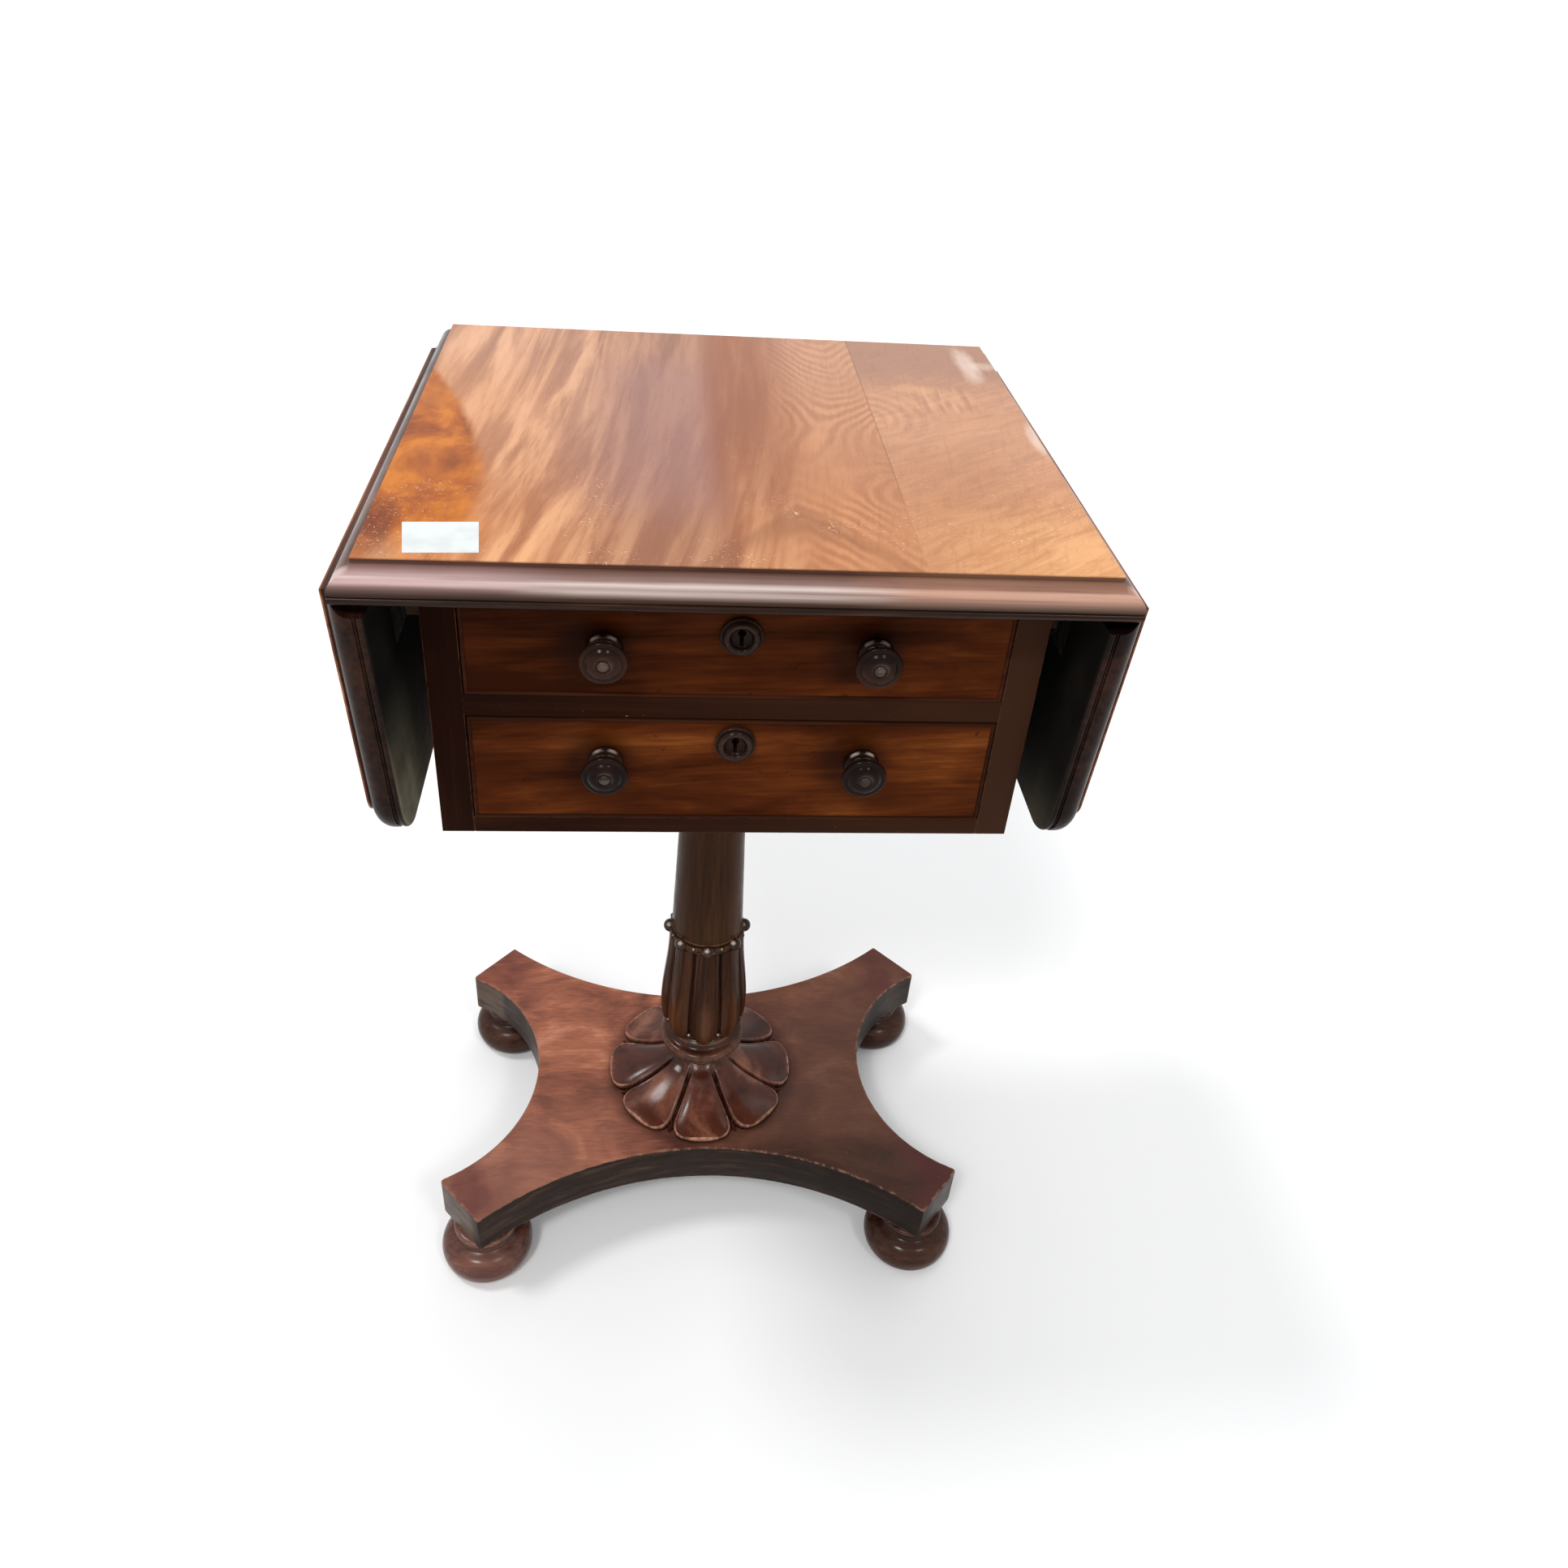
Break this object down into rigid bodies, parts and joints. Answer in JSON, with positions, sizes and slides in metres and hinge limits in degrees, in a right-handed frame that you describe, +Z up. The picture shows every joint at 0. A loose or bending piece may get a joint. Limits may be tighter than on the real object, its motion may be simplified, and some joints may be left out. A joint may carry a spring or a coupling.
{
  "type": "drop-leaf work table",
  "caption": "Pedestal work table with a moulded drop-leaf top, drawers with turned knobs, a carved column with a petal collar, a hollow-sided platform and bun feet.",
  "frame": {"origin": "on the floor, under the middle of the column", "axes": "+Z up, -Y towards the front with the drawers, +X towards the right leaf"},
  "size_m": [0.459, 0.409, 0.73],
  "materials": {
    "polished_mahogany": "french polished, worn",
    "drawer_mahogany": "french polished, dark",
    "turned_dark_wood": "polished",
    "stained_wood": "stained, dull",
    "plain_wood": "unpolished",
    "iron": "dull dark iron",
    "steel": "dull steel",
    "brass": "aged brass"
  },
  "bodies": {
    "stand": {"platform": "polished_mahogany", "front_left_foot": "polished_mahogany", "front_right_foot": "polished_mahogany", "back_left_foot": "polished_mahogany", "back_right_foot": "polished_mahogany", "lotus_collar": "polished_mahogany", "turned_collar": "polished_mahogany", "lobed_baluster": "polished_mahogany", "column": "polished_mahogany", "column_plate": "stained_wood", "bottom_board": "plain_wood", "left_side": "polished_mahogany", "right_side": "polished_mahogany", "back_panel": "stained_wood", "bottom_rail": "polished_mahogany", "middle_rail": "polished_mahogany", "top_rail": "polished_mahogany", "dust_board": "plain_wood", "drawer_runners": "plain_wood", "top_strips": "plain_wood", "drawer_stops": "plain_wood", "table_top": "polished_mahogany", "wood_screws": "steel", "left_hinge_plates": "iron", "right_hinge_plates": "iron", "hinge_pins": "steel", "hinge_plate_screws": "steel", "left_bracket_rail": "stained_wood", "right_bracket_rail": "stained_wood", "bracket_pins": "steel"},
    "left_leaf": {"left_leaf": "polished_mahogany", "left_hinge_straps": "iron", "left_strap_screws": "steel"},
    "right_leaf": {"right_leaf": "polished_mahogany", "right_hinge_straps": "iron", "right_strap_screws": "steel"},
    "left_bracket": {"left_fly_bracket": "stained_wood"},
    "right_bracket": {"right_fly_bracket": "stained_wood"},
    "upper_drawer": {"upper_drawer_front": "drawer_mahogany", "upper_drawer_left_side": "plain_wood", "upper_drawer_right_side": "plain_wood", "upper_drawer_back": "plain_wood", "upper_drawer_bottom": "plain_wood", "upper_drawer_bead": "polished_mahogany", "upper_drawer_knobs": "turned_dark_wood", "upper_keyhole_boss": "turned_dark_wood", "upper_lock_case": "brass"},
    "upper_bolt": {"upper_lock_bolt": "brass"},
    "lower_drawer": {"lower_drawer_front": "drawer_mahogany", "lower_drawer_left_side": "plain_wood", "lower_drawer_right_side": "plain_wood", "lower_drawer_back": "plain_wood", "lower_drawer_bottom": "plain_wood", "lower_drawer_bead": "polished_mahogany", "lower_drawer_knobs": "turned_dark_wood", "lower_keyhole_boss": "turned_dark_wood", "lower_lock_case": "brass"},
    "lower_bolt": {"lower_lock_bolt": "brass"}
  },
  "joints": [
    {"name": "left_leaf_hinge", "type": "hinge", "parent": "stand", "child": "left_leaf", "pos_m": [-0.208, 0, 0.712], "axis": [0, 1, 0], "range_deg": [0, 93.3]},
    {"name": "right_leaf_hinge", "type": "hinge", "parent": "stand", "child": "right_leaf", "pos_m": [0.208, 0, 0.712], "axis": [0, -1, 0], "range_deg": [0, 93.3]},
    {"name": "left_bracket_hinge", "type": "hinge", "parent": "stand", "child": "left_bracket", "pos_m": [-0.186, -0.02, 0.69], "axis": [0, 0, 1], "range_deg": [0, 4.2]},
    {"name": "right_bracket_hinge", "type": "hinge", "parent": "stand", "child": "right_bracket", "pos_m": [0.186, -0.02, 0.69], "axis": [0, 0, -1], "range_deg": [0, 4.2]},
    {"name": "upper_drawer_slide", "type": "slide", "parent": "stand", "child": "upper_drawer", "axis": [0, -1, 0], "range_m": [0, 0.24]},
    {"name": "lower_drawer_slide", "type": "slide", "parent": "stand", "child": "lower_drawer", "axis": [0, -1, 0], "range_m": [0, 0.24]},
    {"name": "upper_bolt_slide", "type": "slide", "parent": "upper_drawer", "child": "upper_bolt", "axis": [0, 0, 1], "range_m": [0, 0.006]},
    {"name": "lower_bolt_slide", "type": "slide", "parent": "lower_drawer", "child": "lower_bolt", "axis": [0, 0, 1], "range_m": [0, 0.006]}
  ]
}
